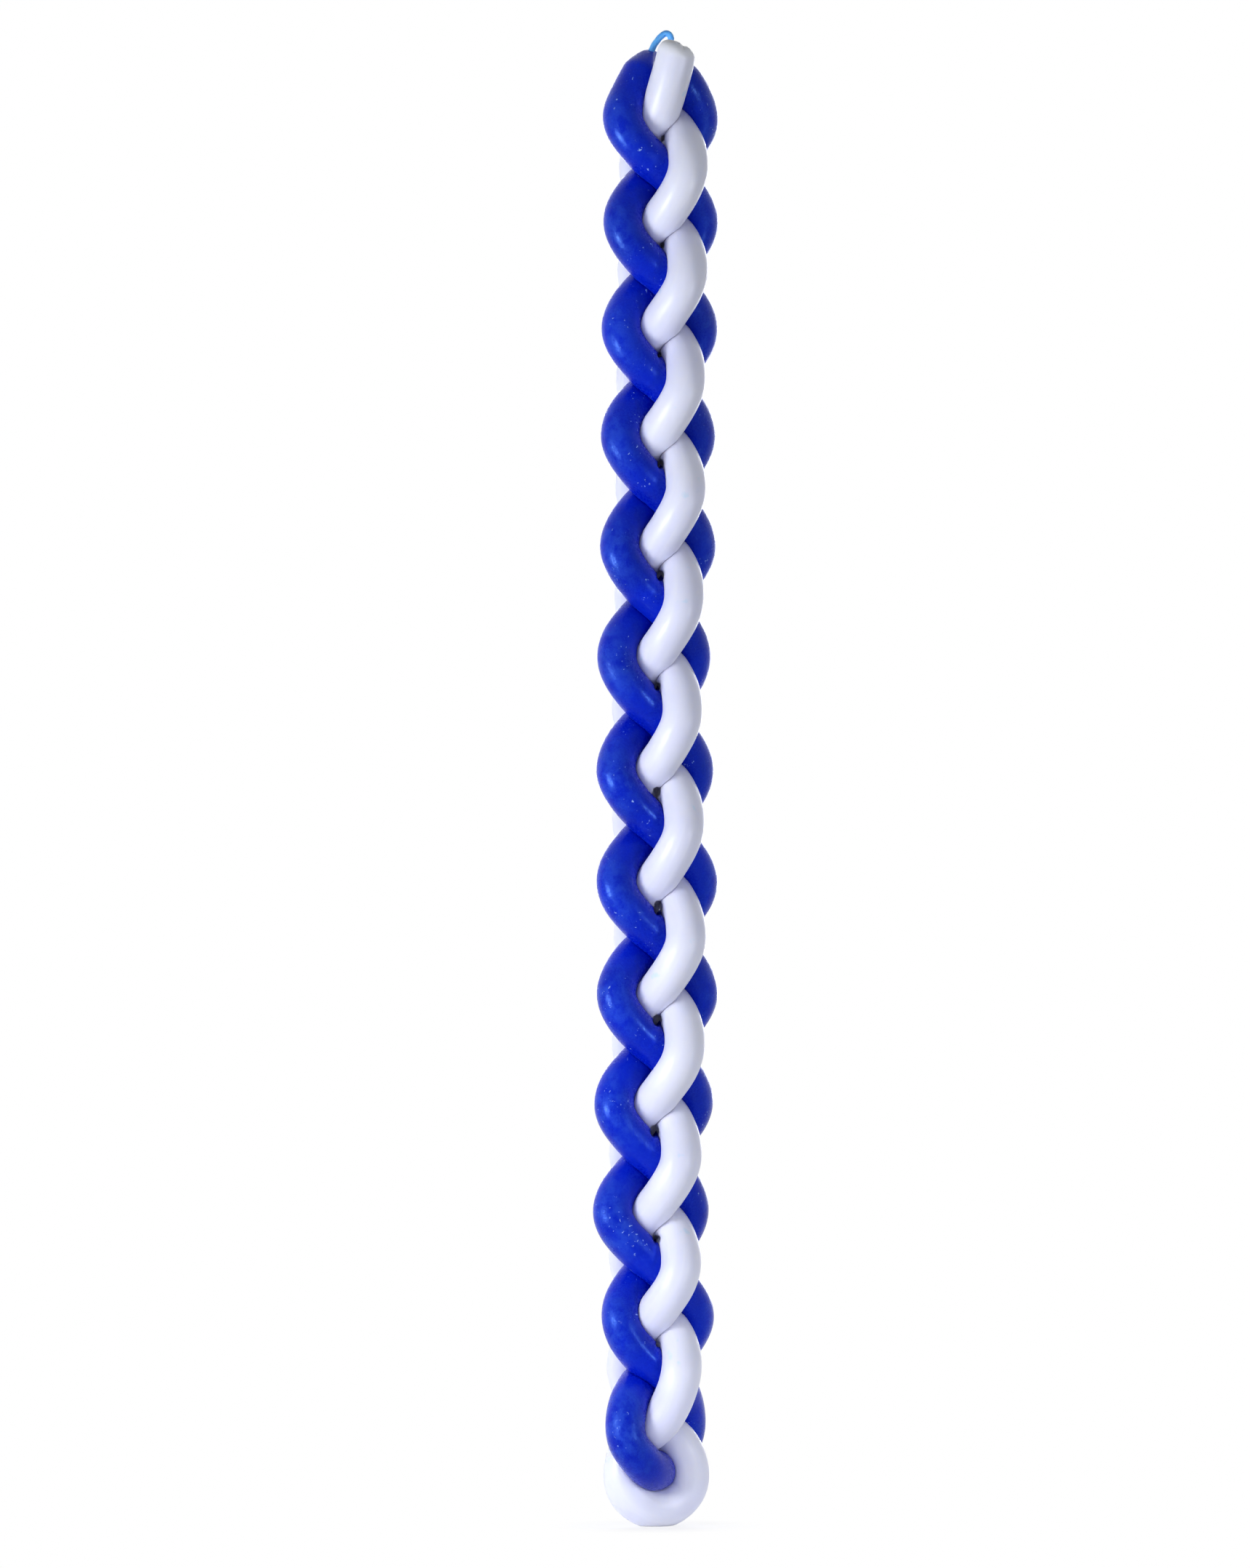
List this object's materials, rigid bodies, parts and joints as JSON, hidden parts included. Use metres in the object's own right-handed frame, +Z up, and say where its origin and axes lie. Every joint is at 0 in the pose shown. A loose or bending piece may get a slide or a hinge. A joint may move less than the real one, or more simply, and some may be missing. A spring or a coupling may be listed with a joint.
{
  "type": "havdalah candle",
  "caption": "Braided candle of blue and white wax tapers, folded, hooked through each other at the foot and plaited up to their cut ends, with a wick through each taper.",
  "frame": {"origin": "under the middle of the foot, on the flat below the white loop", "axes": "+Z up the candle towards the wicks, -Y towards the side that the picture shows, +X to the right of that view"},
  "size_m": [0.0216, 0.0236, 0.2801],
  "materials": {
    "blue_wax": "satin wax with faint bloom",
    "white_wax": "satin wax, slightly see-through",
    "blue_wick_yarn": "waxed cotton yarn, light blue",
    "white_wick_yarn": "waxed cotton yarn, white"
  },
  "bodies": {
    "root": {"blue_taper": "blue_wax", "white_taper": "white_wax", "blue_wick": "blue_wick_yarn", "white_wick": "white_wick_yarn"}
  },
  "joints": []
}
